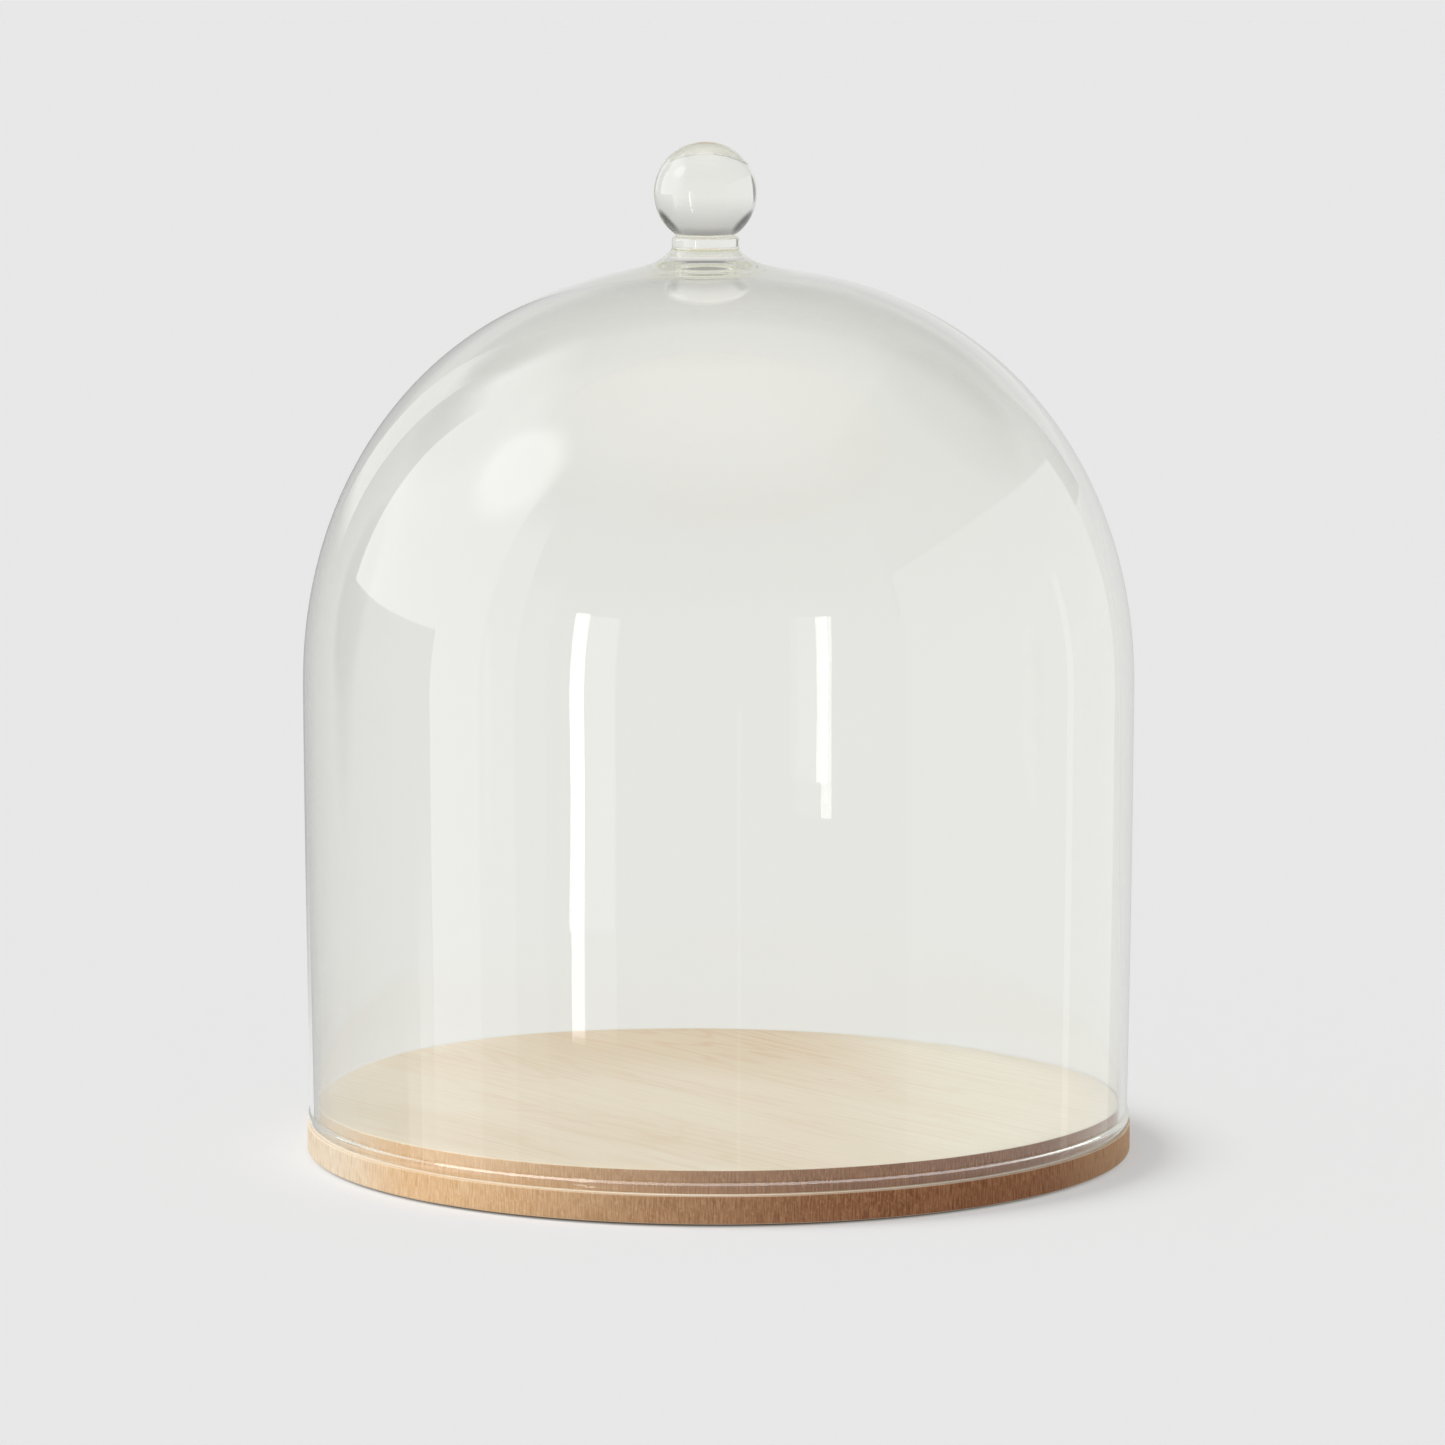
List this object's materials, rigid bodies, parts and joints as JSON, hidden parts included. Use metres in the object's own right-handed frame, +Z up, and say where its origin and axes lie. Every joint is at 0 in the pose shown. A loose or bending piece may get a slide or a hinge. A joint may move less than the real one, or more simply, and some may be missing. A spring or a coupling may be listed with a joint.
{
  "type": "bell jar dome",
  "caption": "Clear glass display bell with a solid ball knob, standing on the ledge of a stepped round wooden base that centres its mouth.",
  "frame": {"origin": "middle of the footprint, on the surface that the felt pads stand on", "axes": "+Z up along the axis of the base and the bell; the knob sits off that axis towards -X; -Y is the side that faces the viewer"},
  "size_m": [0.3056, 0.3056, 0.3717],
  "materials": {
    "clear_glass": "clear, fire-polished, faintly warm green",
    "pale_wood": "sanded, thin matt lacquer, darker sawn edge",
    "dark_felt": "matt felt"
  },
  "bodies": {
    "base": {"base_disc": "pale_wood", "plateau_disc": "pale_wood", "felt_pad_1": "dark_felt", "felt_pad_2": "dark_felt", "felt_pad_3": "dark_felt", "felt_pad_4": "dark_felt"},
    "dome": {"glass_bell": "clear_glass", "neck_collar": "clear_glass", "ball_knob": "clear_glass"}
  },
  "joints": [
    {"name": "dome_lift", "type": "slide", "parent": "base", "child": "dome", "axis": [0, 0, 1], "range_m": [0, 0.36]}
  ]
}
